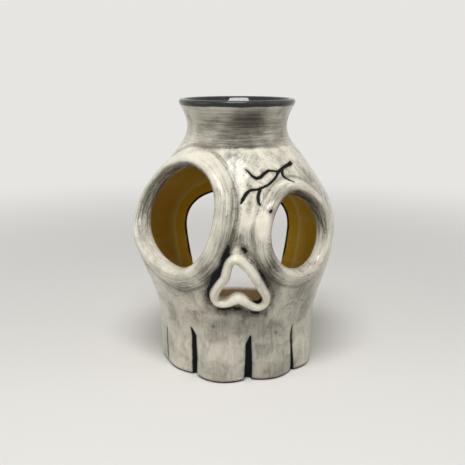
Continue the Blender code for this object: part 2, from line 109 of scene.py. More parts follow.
# Clay left under the notch of the nose and above its top, as swellings, and the crease below the neck
NOSE_FILLS = [
    dict(az=0.9, half_az=4.2, z=48.0, half_z=2.0, height=1.7),
    dict(az=-0.6, half_az=3.8, z=78.3, half_z=4.2, height=2.3),
]
CREASE_Z, CREASE_DEPTH, CREASE_HALF = 129.4, 0.45, 0.9
CREASE_AZ, CREASE_HALF_AZ, CREASE_FADE_AZ = 3.0, 34.0, 8.0
CREASE_WAVES, CREASE_SWAY = 7, 0.5

# How finely the wall is built: spacing of the outer and inner sheets' rows, points round each edge, points
# and spacing of the carved lines, and steps round each lip and rounding
OUTER_STEP, INNER_STEP = 1.3, 2.4
CLOSEST = 0.62
CURVE_POINTS = 1200
LEFT_POINTS, RIGHT_POINTS, NOSE_POINTS, DOOR_POINTS = 150, 110, 120, 160
RIM_POINTS, FOOT_POINTS, FLOOR_POINTS, CREASE_POINTS = 180, 300, 110, 70
CARVED_STEP, CARVED_ACROSS = 0.8, (0, 1, -1, 0.5, -0.5, 1.5, -1.5)
CARVED_APART, ABOVE_FOOT = 0.3, 0.6
CREASE_ACROSS = (-1.6, -0.9, -0.3, 0.3, 0.9, 1.6)
LIP_RINGS_FROM, LIP_RINGS_REACH, LIP_RINGS_STEP, LIP_RINGS_APART = 0.7, 4.0, 0.8, 0.45
LIP_STEPS, FOOT_STEPS, FLOOR_STEPS = 14, 5, 6
FOOT_RINGS, FLOOR_RINGS = (0.97, 0.6), (0.7, 0.35)
# The sheets are laid flat from a seam at this azimuth, with their degrees as long as at this radius
SEAM_AZ, TURN = 110.0, 360.0
FLAT_RADIUS = 57.0


def natural_spline(points):
    """A function of x: piecewise cubics through the points whose second slopes, zero at both ends, solve
    h0 m0 + 2 (h0 + h1) m1 + h1 m2 = 6 (slope after - slope before) at each inner point."""
    xs, ys = np.array(points, float).T
    h = np.diff(xs)
    slopes = np.diff(ys) / h
    inner = np.zeros((len(xs), len(xs)))
    inner[0, 0] = inner[-1, -1] = 1
    row = np.arange(1, len(xs) - 1)
    inner[row, row - 1], inner[row, row], inner[row, row + 1] = h[:-1], 2 * (h[:-1] + h[1:]), h[1:]
    bends = np.zeros(len(xs))
    bends[1:-1] = 6 * np.diff(slopes)
    m = np.linalg.solve(inner, bends)

    def at(x):
        i = np.clip(np.searchsorted(xs, x) - 1, 0, len(xs) - 2)
        t = x - xs[i]
        slope = slopes[i] - h[i] * (2 * m[i] + m[i + 1]) / 6
        return ys[i] + t * slope + t**2 * m[i] / 2 + t**3 * (m[i + 1] - m[i]) / (6 * h[i])

    return at


profile = natural_spline(THROWN)


def smooth(low, high, x):
    """3 t^2 - 2 t^3 of t, the share of the way from low to high, held between 0 and 1."""
    t = np.clip((x - low) / (high - low), 0, 1)
    return t * t * (3 - 2 * t)


def turned(az):
    """The azimuth brought between -180 and 180."""
    return (az + TURN / 2) % TURN - TURN / 2


def scale(z):
    """Millimetres along the wall for one degree of azimuth, R pi / 180, and for one millimetre of height,
    the root of 1 + R' squared."""
    return np.stack([np.radians(profile(z)), np.sqrt(1 + (profile(z + 0.5) - profile(z - 0.5)) ** 2)], -1)


def bulge(az, z, each):
    """height exp(-a^2 - b^2), with a and b the offsets over the half sizes."""
    a, b = turned(az - each["az"]) / each["half_az"], (z - each["z"]) / each["half_z"]
    return each["height"] * np.exp(-a * a - b * b)


def swell(az, z):
    """Teeth: half a sine across each, times a share that falls from 1 at the foot to 0 at the jaw's top.
    The other swellings are added to them."""
    ends = [np.mean([p[0] for p in line]) for line, widths, depth in GAPS]
    ends.append(ends[-1] + LAST_TOOTH_WIDTH_AZ)
    teeth = sum(
        size * np.sin(np.pi * np.clip((turned(az) - left) / (right - left), 0, 1))
        for left, right, size in zip(ends[:-1], ends[1:], TOOTH_SWELL)
    )
    total = teeth * (1 - smooth(0, TOOTH_TOP, z))
    for each in SWELLS:
        total = total + bulge(az, z, each)
    return total


def place(az, radius, z):
    """x = R sin az, y = -R cos az, z = z."""
    a = np.radians(az)
    return np.stack([radius * np.sin(a), -radius * np.cos(a), z + 0 * radius], -1)


def outer_radius(az, z):
    return profile(z) + swell(az, z)


def inner_radius(az, z):
    return profile(z) + 0 * az


def normal(az, z, radius):
    """The cross product of the steps along azimuth and along height, made one long."""
    d = 0.2
    across = place(az + d, radius(az + d, z), z) - place(az - d, radius(az - d, z), z)
    up = place(az, radius(az, z + d), z + d) - place(az, radius(az, z - d), z - d)
    n = np.cross(across, up)
    return n / np.sqrt((n * n).sum(-1))[..., None]


def to_line(az, z, line, closed):
    """For each place, the least distance in millimetres along the wall to the line's segments, and where
    along the line, counted in points, that nearest point lies."""
    line = np.array(line, float)
    best = np.full(np.shape(az), np.inf)
    along = np.zeros(np.shape(az))
    for i in range(len(line) if closed else len(line) - 1):
        here, there = line[i], line[(i + 1) % len(line)]
        mm = scale((here[1] + there[1]) / 2)
        run = (there - here) * mm
        x, y = turned(az - here[0]) * mm[0], (z - here[1]) * mm[1]
        t = np.clip((x * run[0] + y * run[1]) / (run @ run), 0, 1)
        far = np.hypot(x - t * run[0], y - t * run[1])
        along = np.where(far < best, i + t, along)
        best = np.minimum(best, far)
    return best, along


def smooth_loop(corners):
    """A closed Catmull-Rom curve through the corners."""
    c = np.array(corners, float)
    t = np.linspace(0, len(c), CURVE_POINTS, endpoint=False)
    i = t.astype(int)
    u = (t - i)[:, None]
    a, b, d, e = (c[(i + k) % len(c)] for k in (-1, 0, 1, 2))
    return b + 0.5 * u * (d - a + u * (2 * a - 5 * b + 4 * d - e + u * (3 * (b - d) + e - a)))


def socket_edge(eye):
    """An ellipse with one half height above its middle and another below, its lower half narrowed to
    |cos|^taper, shifted sideways by bow times the square of the rise."""
    t = np.linspace(0, 2 * np.pi, CURVE_POINTS, endpoint=False) - np.pi / 2
    c, s = np.cos(t), np.sin(t)
    rise = s * np.where(s > 0, eye["up"], eye["down"])
    half = eye["half_az"] * np.sign(c) * np.where(s > 0, np.abs(c), np.abs(c) ** eye["taper"])
    return np.stack([eye["az"] + half + eye["bow"] * (rise / eye["down"]) ** 2, eye["z"] + rise], -1)


def door_edge():
    """Two superellipse halves that meet at the arch's widest height."""
    t = np.linspace(0, 2 * np.pi, CURVE_POINTS, endpoint=False) - np.pi / 2
    c, s = np.cos(t), np.sin(t)
    power = np.where(s > 0, 2 / DOOR["top_fullness"], 2 / DOOR["sill_fullness"])
    rise = np.sign(s) * np.abs(s) ** power * np.where(s > 0, DOOR["up"], DOOR["down"])
    return np.stack([DOOR["az"] + DOOR["half_az"] * np.sign(c) * np.abs(c) ** power, DOOR["z"] + rise], -1)


def lengths(loop):
    """Running sum of the closed line's steps in millimetres along the wall."""
    steps = (np.roll(loop, -1, 0) - loop) * scale(loop[:, 1])
    return np.concatenate([[0], np.cumsum(np.hypot(*steps.T))])


class Opening:
    """An opening's edge, anticlockwise from outside, spaced by the mean of the lengths along the edge and
    along the lip's crest, with the direction away from the opening at each of its points."""

    def __init__(self, curve, count, lip):
        self.lip = lip
        run = (np.roll(curve, -1, 0) - np.roll(curve, 1, 0)) * scale(curve[:, 1])
        away = np.stack([run[:, 1], -run[:, 0]], -1) / np.hypot(*run.T)[:, None]
        along = lengths(curve) + lengths(curve + away * lip["crest"] / scale(curve[:, 1]))
        at = np.arange(count) * along[-1] / count
        self.edge = self.sample(curve, along, at)
        away = self.sample(away, along, at)
        self.away = away / np.hypot(*away.T)[:, None]

    def sample(self, loop, along, at):
        return np.stack([np.interp(at, along, np.append(loop[:, k], loop[0, k])) for k in (0, 1)], -1)

    def ring(self, far):
        return self.edge + self.away * far / scale(self.edge[:, 1])

    def distance(self, az, z):
        return to_line(az, z, self.edge, True)[0]

    def turn(self, az, z):
        """The angle round the opening's middle, in radians from the viewer's right, anticlockwise."""
        middle = (self.edge.min(0) + self.edge.max(0)) / 2
        mm = scale(middle[1])
        return np.arctan2((z - middle[1]) * mm[1], turned(az - middle[0]) * mm[0])

    def roll(self, far, hollow=0.0):
        """Lip height up to the crest, then a smooth fall to minus the hollow, which rises to 0 beyond."""
        lip = self.lip
        down = smooth(lip["crest"], lip["width"], far)
        return lip["height"] * (1 - down) - hollow * down * (1 - smooth(0, HOLLOW_REACH, far - lip["width"]))


left_eye = Opening(socket_edge(LEFT_EYE), LEFT_POINTS, LEFT_LIP)
right_eye = Opening(socket_edge(RIGHT_EYE), RIGHT_POINTS, RIGHT_LIP)
nose = Opening(smooth_loop(NOSE_CORNERS[::-1]), NOSE_POINTS, NOSE_LIP)
door = Opening(door_edge(), DOOR_POINTS, DOOR_LIP)
openings = [left_eye, right_eye, nose, door]


def carved(az, z, lines):
    """Depth of the carving, depth (1 - (far / half width)^2) of the deepest line, and millimetres from
    the nearest carved line's side, counted as positive inside it."""
    cut, ink = np.zeros(np.shape(az)), np.full(np.shape(az), NO_INK)
    for line, widths, depth in lines:
        far, along = to_line(az, z, line, False)
        half_width = np.interp(along, np.arange(len(widths)), widths)
        share = np.clip(1 - (far / half_width) ** 2, 0, 1) * np.minimum(1, half_width / max(widths))
        cut = np.maximum(cut, depth * share)
        ink = np.maximum(ink, half_width - far)
    return cut, ink


def relief(az, z):
    """The rolled lips, the hollow round the nose's lip and the fills beside it, less the carving and the
    crease: depth exp(-h^2), with h the height from its swaying line over its half width, fading out
    round the neck."""
    rolls = sum(o.roll(o.distance(az, z), HOLLOW_DEPTH if o is nose else 0.0) for o in openings)
    swaying = CREASE_Z + CREASE_SWAY * np.sin(np.radians(az * CREASE_WAVES))
    crease = CREASE_DEPTH * np.exp(-((z - swaying) / CREASE_HALF) ** 2)
    from_middle = np.abs(turned(az - CREASE_AZ))
    crease = crease * (1 - smooth(CREASE_HALF_AZ - CREASE_FADE_AZ, CREASE_HALF_AZ, from_middle))
    fills = sum(bulge(az, z, each) for each in NOSE_FILLS)
    return rolls + fills - crease - carved(az, z, GAPS_AND_CRACKS)[0]


def wall(z):
    """The wall's thickness, which thins smoothly from the shoulder to the rim."""
    return WALL + (RIM_WALL - WALL) * smooth(SHOULDER_Z, RIM_Z, z)


def outer(az, z):
    """The thrown and swollen face, moved out along its normal by the relief."""
    return place(az, outer_radius(az, z), z) + normal(az, z, outer_radius) * relief(az, z)[..., None]


def inner(az, z):
    """The thrown face moved in along its normal by the wall's thickness."""
    return place(az, inner_radius(az, z), z) - normal(az, z, inner_radius) * wall(z)[..., None]


# The wall stops below the full height by what its leaning, rounded rim adds
rim_lean = abs(normal(0.0, HEIGHT - RIM_WALL, inner_radius)[2])
rim_half = rim_lean * RIM_WALL / 2
RIM_Z = HEIGHT - rim_half - np.hypot(rim_half, np.sqrt(1 - rim_lean**2) * RIM_ROUNDING)


class Sheet:
    """Points over azimuth and height: rows a step apart that keep clear of the loops and lines laid
    before them, and the Delaunay triangles between them."""

    def __init__(self, low, high, step, low_count, high_count):
        self.step = step
        self.fixed = np.zeros((0, 2))
        self.bottom = self.add_level(low, low_count)
        self.top = self.add_level(high, high_count)
        self.low, self.high = low, high

    def add_level(self, z, count):
        """Points all the way round at one height. The last one, at the seam, repeats the first."""
        az = np.linspace(SEAM_AZ - TURN, SEAM_AZ, count + 1)
        return self.add(np.stack([az, np.full(count + 1, z)], -1))[:-1]

    def clear(self, points, gap):
        apart = points[:, None, :] - self.fixed[None]
        apart[..., 0] = turned(apart[..., 0])
        apart = apart * scale(points[:, 1])[:, None, :]
        return points[(apart**2).sum(-1).min(1) > gap**2]

    def add(self, points, gap=0.0):
        points = np.array(points, float)
        points = self.clear(points, gap) if gap else points
        self.fixed = np.vstack([self.fixed, points])
        return np.arange(len(self.fixed) - len(points), len(self.fixed))

    def triangles(self, loops):
        count = int(round((self.high - self.low) / self.step))
        heights = np.linspace(self.low, self.high, count + 1)[1:-1]
        start, end = [
            self.add(np.stack([np.full(count - 1, az), heights], -1)) for az in (SEAM_AZ - TURN, SEAM_AZ)
        ]
        rows = []
        for row, z in enumerate(heights):
            around = int(round(2 * np.pi * profile(z) / self.step))
            az = SEAM_AZ - TURN + TURN * (np.arange(1, around) - 0.5 * (row % 2)) / around
            rows.append(self.clear(np.stack([az, np.full(len(az), z)], -1), CLOSEST * self.step))
        self.points = np.vstack([self.fixed, *rows])
        flat = (self.points * [np.radians(FLAT_RADIUS), 1.0]).tolist()
        holes = [list(map(int, loop)) for loop in loops]
        found = delaunay_2d_cdt(flat, [], holes, 0, 1e-6)
        faces, came_from, in_loops = found[2], found[3], found[5]
        name = np.arange(len(self.points))
        name[end] = start
        name[self.bottom[-1] + 1] = self.bottom[0]
        name[self.top[-1] + 1] = self.top[0]
        first = np.array([old[0] if old else -1 for old in came_from])
        if (first < 0).any():
            sys.exit("two loops of a sheet cross")
        kept = np.array([face for face, loop in zip(faces, in_loops) if not loop])
        return name[first[kept]]


def carved_points(line, widths, along_step, across):
    """Points along a carved line, a step apart, at these shares of its half width to both sides."""
    line = np.array(line, float)
    along = np.concatenate([[0], np.cumsum(np.hypot(*(np.diff(line, axis=0) * scale(line[1:, 1])).T))])
    at = np.linspace(0, along[-1], int(along[-1] / along_step) + 2)
    middle = np.stack([np.interp(at, along, line[:, k]) for k in (0, 1)], -1)
    run = np.gradient(middle, axis=0) * scale(middle[:, 1])
    side = np.stack([-run[:, 1], run[:, 0]], -1) / np.hypot(*run.T)[:, None]
    half = np.interp(at, along, widths)[:, None]
    return [middle + share * half * side / scale(middle[:, 1]) for share in across]


outer_sheet = Sheet(FOOT_ROUNDING, RIM_Z, OUTER_STEP, FOOT_POINTS, RIM_POINTS)
inner_sheet = Sheet(FLOOR_THICKNESS + FLOOR_ROUNDING, RIM_Z, INNER_STEP, FLOOR_POINTS, RIM_POINTS)
outer_loops = [outer_sheet.add(o.ring(o.lip["crest"])) for o in openings]
inner_loops = [inner_sheet.add(o.ring(o.lip["inside"])) for o in openings]
for line, widths, depth in GAPS_AND_CRACKS:
    for points in carved_points(line, widths, CARVED_STEP, CARVED_ACROSS):
        outer_sheet.add(points[points[:, 1] > FOOT_ROUNDING + ABOVE_FOOT], CARVED_APART)
crease_az = np.linspace(-CREASE_HALF_AZ, CREASE_HALF_AZ, CREASE_POINTS) + CREASE_AZ
for z in CREASE_Z + np.array(CREASE_ACROSS):
    outer_sheet.add(np.stack([crease_az, np.full(CREASE_POINTS, z)], -1), CARVED_APART)
for o in openings:
    last = min(o.lip["width"], o.lip["crest"] + LIP_RINGS_REACH) + LIP_RINGS_STEP
    for far in np.arange(o.lip["crest"] + LIP_RINGS_FROM, last, LIP_RINGS_STEP):
        ring = o.ring(far)
        outer_sheet.add(ring[o.distance(*ring.T) > far - 0.1], LIP_RINGS_APART)
outer_faces = outer_sheet.triangles(outer_loops)
inner_faces = inner_sheet.triangles(inner_loops)


def band(one, other):
    """Quads between two closed rings of vertex numbers that run the same way."""
    return np.stack([one, np.roll(one, -1), np.roll(other, -1), other], -1)


class Wall:
    """Vertices, and for each its azimuth, height and how far round from outside (0) to inside (1) it is."""

    def __init__(self):
        self.points, self.where, self.faces, self.count = [], [], [], 0

    def add(self, points, az, z, inside):
        self.points.append(points)
        self.where.append(np.stack([az + 0 * z, z + 0 * az, np.full(len(points), float(inside))], -1))
        self.count += len(points)
        return np.arange(self.count - len(points), self.count)

    def lip(self, start, end, section):
        """Bands from the outer ring to the inner one through sections at even angles from 0 to pi."""
        rings = [start]
        for angle in np.linspace(0, np.pi, LIP_STEPS + 1)[1:-1]:
            rings.append(self.add(*section(angle), angle / np.pi))
        for one, other in zip(rings, rings[1:] + [end]):
            self.faces.append(band(one, other))

    def rounded(self, ring, size, steps, inside, level_share):
        """Rings that turn a quarter circle in from the wall to a level face, and a fan to its middle."""
        all_points, all_where = np.vstack(self.points), np.vstack(self.where)
        start, az = all_points[ring], all_where[ring, 0]
        radius = np.hypot(start[:, 0], start[:, 1])[:, None]
        for angle in np.linspace(0, np.pi / 2, steps + 1)[1:]:
            points = start * (1 - size * (1 - np.cos(angle)) / radius)
            points[:, 2] = start[:, 2].mean() - size * np.sin(angle)
            new = self.add(points, az, points[:, 2], inside)
            self.faces.append(band(ring, new))
            ring = new
        for share in level_share:
            level = points * [share, share, 1]
            new = self.add(level, az, level[:, 2], inside)
            self.faces.append(band(ring, new))
            ring = new
        middle = self.add(np.array([[0, 0, points[0, 2]]]), np.zeros(1), points[:1, 2], inside)[0]
        self.faces.append(np.stack([ring, np.roll(ring, -1), np.full(len(ring), middle)], -1))


def opening_section(o):
    """At an angle, mid wall plus half the wall's thickness times the signed power of the cosine, at a
    distance from the edge that the same power of the sine gives."""

    def section(angle):
        power = 2 / o.lip["squareness"]
        reach = o.lip["crest"] if angle < np.pi / 2 else o.lip["inside"]
        az, z = o.ring(reach * (1 - np.sin(angle) ** power)).T
        face, back = outer(az, z), inner(az, z)
        share = np.sign(np.cos(angle)) * np.abs(np.cos(angle)) ** power
        return (face + back + (face - back) * share) / 2, az, z

    return section


def rim_section(az):
    """Half an ellipse as thick as the rim, standing on the wall's top and leaning with it."""

    def section(angle):
        z = np.full(len(az), RIM_Z)
        n = normal(az, z, inner_radius)
        up = [0, 0, 1] - n * n[:, 2:]
        up = up / np.sqrt((up * up).sum(-1))[:, None]
        middle = place(az, inner_radius(az, z), z) - n * RIM_WALL / 2
        points = middle + n * RIM_WALL / 2 * np.cos(angle) + up * RIM_ROUNDING * np.sin(angle)
        return points, az, points[:, 2]

    return section


clay = Wall()
outside = clay.add(outer(*outer_sheet.points.T), *outer_sheet.points.T, 0)
inside = clay.add(inner(*inner_sheet.points.T), *inner_sheet.points.T, 1)
clay.faces += [outside[outer_faces], inside[inner_faces][:, ::-1]]
for o, start, end in zip(openings, outer_loops, inner_loops):
    clay.lip(outside[start], inside[end], opening_section(o))
rim_az = outer_sheet.points[outer_sheet.top, 0]
clay.lip(outside[outer_sheet.top], inside[inner_sheet.top], rim_section(rim_az))
clay.rounded(outside[outer_sheet.bottom][::-1], FOOT_ROUNDING, FOOT_STEPS, 0, FOOT_RINGS)
clay.rounded(inside[inner_sheet.bottom], FLOOR_ROUNDING, FLOOR_STEPS, 1, FLOOR_RINGS)


def to_mesh(name, points, faces):
    """A smooth mesh in metres from rows of points and blocks of faces, without the unused points."""
    used = np.unique(np.concatenate([block.ravel() for block in faces]))
    number = np.full(len(points), -1)
    number[used] = np.arange(len(used))
    mesh = bpy.data.meshes.new(name)
    corners = [face for block in faces for face in number[block].tolist()]
    mesh.from_pydata((points[used] / 1000).tolist(), [], corners)
    mesh.polygons.foreach_set("use_smooth", np.ones(len(mesh.polygons), bool))
    return mesh, used


mesh, used = to_mesh("skull_pot", np.vstack(clay.points), clay.faces)
az, z, inside_share = np.vstack(clay.where)[used].T
pot = bpy.data.objects.new("skull_pot", mesh)
bpy.context.scene.collection.objects.link(pot)
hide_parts("pot")
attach(pot, "root")

# The finish. The pot is dipped in a cream glaze. A thin black wash is brushed over it and wiped back, so it
# stays in the carved lines and in streaks that follow the brush: level round the neck, round the sockets
# and down the face. The rim is dipped in black glaze, and the inside is poured with an amber one.
CREAM, CREAM_SHADE = (0.82, 0.78, 0.665, 1), (0.74, 0.70, 0.58, 1)
WASH = (0.045, 0.036, 0.024, 1)
BLACK = (0.006, 0.006, 0.007, 1)
# The paler amber is the throwing rings' glaze and also the colour of the painted reflection round the door
# inside.
AMBER, AMBER_PALE_AND_GLINT = (0.49, 0.29, 0.006, 1), (0.56, 0.42, 0.12, 1)
# The share of the cream that shows through one coat of wash
SHOWS_THROUGH = 0.368

# Broad wash left on the face: azimuth, z, half az, half z, and how many coats. Minus is wiped clean; at
# azimuth 11 and z 93, beside the right socket, the wiping paints a highlight.
SMUDGES = [
    (-50, 116, 17, 10, -0.3), (58, 110.5, 13, 8, 0.25), (31, 105, 10, 3.6, 0.9), (36, 124, 6, 2.5, 0.5),
    (-4, 126.3, 6, 3, 0.9), (-27, 129.2, 13, 1.6, 0.6), (-0.6, 78.3, 3.0, 3.4, -2.4),
    (6, 85, 6, 6, 0.7), (-5, 81.5, 5, 5, 1.2), (-3, 92, 3, 12, 0.6), (-2.3, 108, 1.6, 12, 1.3),
    (7, 104, 2, 8, 0.4), (-36, 54, 12, 6, 0.7), (-74, 60, 10, 7, 0.5), (0, 43, 14, 3, 0.6),
    (0, 33, 30, 8, 0.52), (64, 104, 10, 12, 0.35), (18, 68, 4, 9, 1.3), (22, 57, 4, 8, 0.9),
    (46, 52, 14, 12, 0.8), (55, 39, 7, 9, 0.7), (33, 5, 16, 7, 0.7), (22, 24, 14, 9, 0.4),
    (-52, 37.5, 8, 8, 0.45), (-17, 66, 4, 9, 0.9), (29, 80, 3, 10, 0.3), (17.5, 78, 2.5, 13, 0.55),
    (21, 99, 4, 5, 0.5), (-80, 96.5, 12, 14, 0.2), (-62, 12, 12, 8, 0.3), (-12, 5, 18, 5, 0.3),
    (-9, 101, 4, 14, 0.25), (11, 93, 4, 8, -0.6), (0, 20, 60, 26, 0.38), (75, 25, 14, 22, 0.4),
    (110, 61, 30, 30, 0.25), (-130, 111, 30, 14, 0.3), (140, 121, 40, 8, 0.45),
    (-120, 41, 30, 20, 0.25), (180, 14, 60, 10, 0.35),
]
# The same on the neck, which ends at the crease
NECK_SMUDGES = [
    (9, 144.5, 19, 4.5, 1.85), (16, 148.5, 12, 2.5, 0.8), (4, 133.5, 14, 3.5, 0.5), (6, 138, 33, 10, 1.4),
    (-38, 142, 18, 12, 0.55), (-64, 142, 4, 10, 0.5), (55, 139, 22, 12, 0.5), (4, 131, 32, 2.5, 0.6),
    (-150, 140, 60, 9, 0.7), (130, 140, 40, 9, 0.7),
]
# Small black spots: azimuth, z, radius
SPOTS = [(-16.1, 32.3, 0.5), (27.3, 27.2, 0.4), (1.9, 12.3, 0.35), (17.4, 97.9, 0.85), (18.4, 98.5, 0.7)]
# Black line where the pot stands, partly wash pooled at the foot's edge and partly a painted contact shadow:
# its height
FOOT_LINE = 1.1

# Black brushed round the nose's lip: points (azimuth, z) and the half width at each
NOSE_STROKES = [
    ([(-4.8, 81.4), (-5.5, 78.4), (-6.3, 75.6), (-7.4, 72.8), (-8.8, 69.6), (-10.2, 67.0), (-11.8, 64.3),
      (-13.6, 60.8), (-15.6, 57.6), (-17.4, 55.0), (-17.9, 51.4), (-17.2, 47.9), (-15.5, 45.8)],
     [0.9, 1.6, 2.0, 1.5, 0.9, 1.7, 2.3, 2.0, 1.3, 0.9, 0.8, 0.5, 0.2]),
    ([(2.2, 81.2), (3.2, 79.9), (4.3, 78.2)], [0.7, 1.2, 0.9]),
    ([(9.6, 71.8), (12.2, 67.5), (13.9, 64.4), (16.0, 60.9), (17.8, 57.7), (18.9, 54.4)],
     [0.2, 0.5, 1.0, 0.6, 0.4, 0.2]),
    ([(-11.8, 42.9), (-8.8, 43.0), (-5.9, 43.3), (-3.8, 43.8), (-1.8, 44.1), (1.1, 44.0), (3.0, 43.2)],
     [0.6, 1.1, 0.8, 0.6, 1.1, 1.1, 0.3]),
    ([(5.2, 42.2), (9.3, 41.0), (12.2, 40.7), (15.4, 41.2)], [0.3, 0.6, 1.1, 0.7]),
]
# Black in the lower right corner of the nose's opening: the angles round the nose that it lies between,
# and its millimetres per degree
CORNER_FROM, CORNER_TO, CORNER_DEGREE = -57.0, -38.0, 0.2

# Distances from an opening's edge over which the strokes round it give way to those down the face
NEAR = dict(left_eye=(10, 18), right_eye=(8, 15), nose=(7, 13))
# Coats on the sockets' turned-in faces, partly wash and partly painted shade, darkest on each socket's top,
# which faces down: for what faces right, for what faces up and all over
TURNED_IN_SHADE = dict(left_eye=(-0.35, 0.9, 0.55), right_eye=(0.15, 1.1, 0.55))
# How far from its edge each socket's lip meets the face, the half width of the wash there, and how far
# round from outside to inside a lip measures
LIP_FOOT = dict(left_eye=12.5, right_eye=9.7)
LIP_FOOT_HALF = 2.4
LIP_GIRTH = 13.0
# How far from the nose's edge its coil is wiped clean, is free of the black strokes, and has wash beside it
COIL_CLEAN, COIL_FREE, BESIDE_COIL = (3.5, 6.0), (4.6, 5.6), (4.5, 6.2, 13.0)
# Height at which the brush turns level, and how far under the crease a strip of painted highlight lies, where
# the wash is thinned
LEVEL_STROKES = (126.5, 131.5)
HIGHLIGHT_BELOW_CREASE = 1.2
# The black glaze: its depth below the rim, the height that it ends at inside the neck, and how far each
# edge wanders
RIM_BAND, RIM_WANDER = 3.4, 1.6
THROAT, THROAT_WANDER = (122.5, 128.5), 14.0
# A painted reflection inside, a pale line round the door on the amber: its distance from the door, its half
# width and how far it wanders
GLINT_FROM_DOOR, GLINT_HALF, GLINT_WANDER = 12.0, 2.4, 3.0
# Gloss of the whole pot, and how deep the brush marks are
SPECULAR, COAT_ROUGHNESS = 0.15, 0.04
BRUSH_DEPTH = 0.8


def broad_wash(az, z, smudges):
    """The sum of coats exp(-a^2 - b^2) over the smudges, with a and b the offsets over the half sizes."""
    total = np.zeros(len(az))
    for smudge_az, smudge_z, half_az, half_z, coats in smudges:
        total += coats * np.exp(-(turned(az - smudge_az) / half_az) ** 2 - ((z - smudge_z) / half_z) ** 2)
    return total


def ink_and_contact_shadow(az, z, inside_share):
    """Millimetres from the nearest black line's side, positive inside it: the carved lines and the spots,
    which are ink, and the foot's edge, which is partly ink and partly a painted contact shadow."""
    ink = carved(az, z, GAPS_AND_CRACKS)[1]
    for spot_az, spot_z, size in SPOTS:
        mm = scale(spot_z)
        ink = np.maximum(ink, size - np.hypot(turned(az - spot_az) * mm[0], (z - spot_z) * mm[1]))
    ink = np.where(inside_share < 0.6, ink, NO_INK)
    # The foot's edge: partly pooled wash and partly a painted contact shadow
    foot = np.where(inside_share < 0.5, FOOT_LINE - z, NO_INK)
    return np.maximum(ink, foot)


def brushed_ink(az, z, inside_share):
    """Millimetres from the side of the nearest stroke round the nose, positive inside it, and the same
    for the black in the corner of its opening."""
    strokes = carved(az, z, [(line, widths, 0) for line, widths in NOSE_STROKES])[1]
    strokes = np.where(inside_share < 0.3, strokes, NO_INK)
    angle = np.degrees(nose.turn(az, z))
    corner = np.minimum(angle - CORNER_FROM, CORNER_TO - angle) * CORNER_DEGREE
    on_lip = (inside_share > 0.4) & (inside_share < 0.95) & (nose.distance(az, z) < NOSE_LIP["crest"])
    return np.maximum(strokes, np.where(on_lip, corner, NO_INK))


def highlight_under_crease(az, z, inside_share):
    """A painted highlight just under the crease: exp(-h^2) on the outer face, with h the height from the
    strip over the crease's half width.
    """
    strip = np.exp(-((z - CREASE_Z + HIGHLIGHT_BELOW_CREASE) / CREASE_HALF) ** 2)
    return strip * (np.abs(turned(az - CREASE_AZ)) < CREASE_HALF_AZ) * (inside_share < 0.1)


def round_opening(o, az, z, inside_share):
    """Cosine and sine of the angle round the opening, and the millimetres from its edge, which go on
    below zero over the rolled lip."""
    turn = o.turn(az, z)
    over = 0 if o is door else LIP_GIRTH * inside_share
    return np.stack([np.cos(turn), np.sin(turn), o.distance(az, z) - over], -1)


def keep(mesh, name, values):
    """Values per point, one or three of each, kept on the mesh for its material."""
    kind = ("FLOAT_VECTOR", "vector") if values.ndim == 2 else ("FLOAT", "value")
    attribute = mesh.attributes.new(name, kind[0], "POINT")
    attribute.data.foreach_set(kind[1], values.astype(np.float32).ravel())


for name, o in dict(left_eye=left_eye, right_eye=right_eye, nose=nose, door=door).items():
    keep(mesh, "round_" + name, round_opening(o, az, z, inside_share))
# Carved lines and spots in ink, and the foot's black line, partly a painted contact shadow
keep(mesh, "ink", ink_and_contact_shadow(az, z, inside_share))
keep(mesh, "brushed", brushed_ink(az, z, inside_share))
keep(mesh, "wash", broad_wash(az, z, SMUDGES))
keep(mesh, "neck_wash", broad_wash(az, z, NECK_SMUDGES))
keep(mesh, "inside", inside_share)
# The strip of painted highlight under the crease
keep(mesh, "crease", highlight_under_crease(az, z, inside_share))


class Value:
    """A socket that gives a number. Arithmetic on it adds the Math node that works out the result."""

    def __init__(self, nodes, socket):
        self.nodes, self.socket = nodes, socket

    def math(self, operation, *values):
        inputs = dict(enumerate(values))
        return self.nodes.add("ShaderNodeMath", dict(operation=operation), inputs)

    def __add__(self, other):
        return self.math("ADD", self, other)

    def __sub__(self, other):
        return self.math("SUBTRACT", self, other)

    def __rsub__(self, other):
        return self.math("SUBTRACT", other, self)

    def __mul__(self, other):
        return self.math("MULTIPLY", self, other)

    def __truediv__(self, other):
        return self.math("DIVIDE", self, other)

    def __abs__(self):
        return self.math("ABSOLUTE", self)

    def __rpow__(self, other):
        return self.math("POWER", other, self)

    __radd__, __rmul__ = __add__, __mul__

    def rise(self, low, high):
        """3 t^2 - 2 t^3 of the share of the way from low to high, held between 0 and 1."""
        settings = dict(interpolation_type="SMOOTHSTEP")
        inputs = {"Value": self, "From Min": low, "From Max": high}
        return self.nodes.add("ShaderNodeMapRange", settings, inputs)

    def most(self, other):
        return self.math("MAXIMUM", self, other)

    def held(self):
        """The same, held between 0 and 1."""
        return self.math("MINIMUM", self.math("MAXIMUM", self, 0.0), 1.0)

    def towards(self, other, share):
        """The share of the way from this value to the other."""
        return self + share * (other - self)


